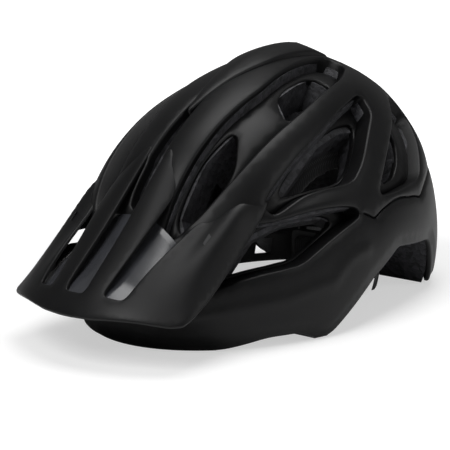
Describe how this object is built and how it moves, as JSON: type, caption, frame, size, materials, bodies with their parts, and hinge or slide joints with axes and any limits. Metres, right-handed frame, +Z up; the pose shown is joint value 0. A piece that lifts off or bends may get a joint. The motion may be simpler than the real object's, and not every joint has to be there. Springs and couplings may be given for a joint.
{
  "type": "cycling helmet",
  "caption": "Vented trail cycling helmet with an integrated slotted peak, foam liner, raised crown tail, dial fit cradle, padding and a buckled webbing loop.",
  "frame": {"origin": "middle of the footprint, on the surface the rim stands on", "axes": "+Z up, -Y the front (the peak), +X the wearer's left"},
  "size_m": [0.2038, 0.3586, 0.1742],
  "materials": {
    "shell_black": "satin, moulded polycarbonate",
    "foam_black": "fine beaded expanded foam, matt",
    "scoop_grey": "gloss moulded",
    "nylon_black": "fine matt moulded nylon",
    "rubber_black": "matt",
    "pad_fabric": "brushed knit over foam",
    "acetal_white": "satin moulded acetal",
    "screw_steel": "zinc plated",
    "webbing_black": "woven polyester webbing"
  },
  "bodies": {
    "helmet": {"upper_shell": "shell_black", "lower_shell": "shell_black", "crown_tail": "shell_black", "eps_liner": "foam_black", "peak_grommets": "rubber_black", "headband": "nylon_black", "brow_pad": "pad_fabric", "crown_pads": "pad_fabric", "temple_pins": "nylon_black", "height_guide": "nylon_black", "front_strap_left": "webbing_black", "front_strap_right": "webbing_black", "rear_strap_left": "webbing_black", "rear_strap_right": "webbing_black", "chin_strap_left": "webbing_black", "chin_strap_right": "webbing_black", "strap_anchors": "nylon_black", "strap_divider_left": "nylon_black", "strap_divider_right": "nylon_black", "buckle_socket": "nylon_black", "strap_keeper": "rubber_black", "chin_pad": "pad_fabric"},
    "peak_unit": {"peak": "shell_black", "peak_scoops": "scoop_grey", "peak_studs": "nylon_black"},
    "cradle_unit": {"fit_belt_left": "nylon_black", "fit_belt_right": "nylon_black", "rear_cradle": "nylon_black", "height_strip": "nylon_black", "dial_housing": "nylon_black", "housing_cover": "nylon_black", "click_ring": "acetal_white", "nape_pads": "pad_fabric"},
    "dial": {"dial_pinion": "acetal_white", "dial_knob": "rubber_black", "dial_screw": "screw_steel"},
    "left_rack": {"rack_left": "nylon_black"},
    "right_rack": {"rack_right": "nylon_black"},
    "left_lever": {"divider_lever_left": "nylon_black"},
    "right_lever": {"divider_lever_right": "nylon_black"},
    "tongue": {"buckle_tongue": "nylon_black"}
  },
  "joints": [
    {"name": "peak_pull", "type": "slide", "parent": "helmet", "child": "peak_unit", "axis": [0, -1, 0], "range_m": [0, 0.035]},
    {"name": "cradle_height", "type": "hinge", "parent": "helmet", "child": "cradle_unit", "pos_m": [0, -0.038, 0.031], "axis": [1, 0, 0], "range_deg": [0, 5]},
    {"name": "dial_turn", "type": "hinge", "parent": "cradle_unit", "child": "dial", "pos_m": [0, 0.11, 0.017], "axis": [0, -1, 0], "range_deg": [-120, 120]},
    {"name": "rack_left_slide", "type": "slide", "parent": "cradle_unit", "child": "left_rack", "axis": [-1, 0, 0], "range_m": [-0.0128, 0.0128]},
    {"name": "rack_right_slide", "type": "slide", "parent": "cradle_unit", "child": "right_rack", "axis": [1, 0, 0], "range_m": [-0.0128, 0.0128]},
    {"name": "lever_left_swing", "type": "hinge", "parent": "helmet", "child": "left_lever", "pos_m": [0.054, 0.0394, 0.009], "axis": [0, 0, -1], "range_deg": [0, 75]},
    {"name": "lever_right_swing", "type": "hinge", "parent": "helmet", "child": "right_lever", "pos_m": [-0.054, 0.0394, 0.009], "axis": [0, 0, 1], "range_deg": [0, 75]},
    {"name": "buckle_release", "type": "slide", "parent": "helmet", "child": "tongue", "axis": [-1, 0, 0], "range_m": [0, 0.016], "deforming": ["chin_strap_right"]}
  ],
  "couplings": [
    {"joint": "rack_left_slide", "follows": "dial_turn", "m_per_rad": 0.006},
    {"joint": "rack_right_slide", "follows": "dial_turn", "m_per_rad": 0.006}
  ]
}
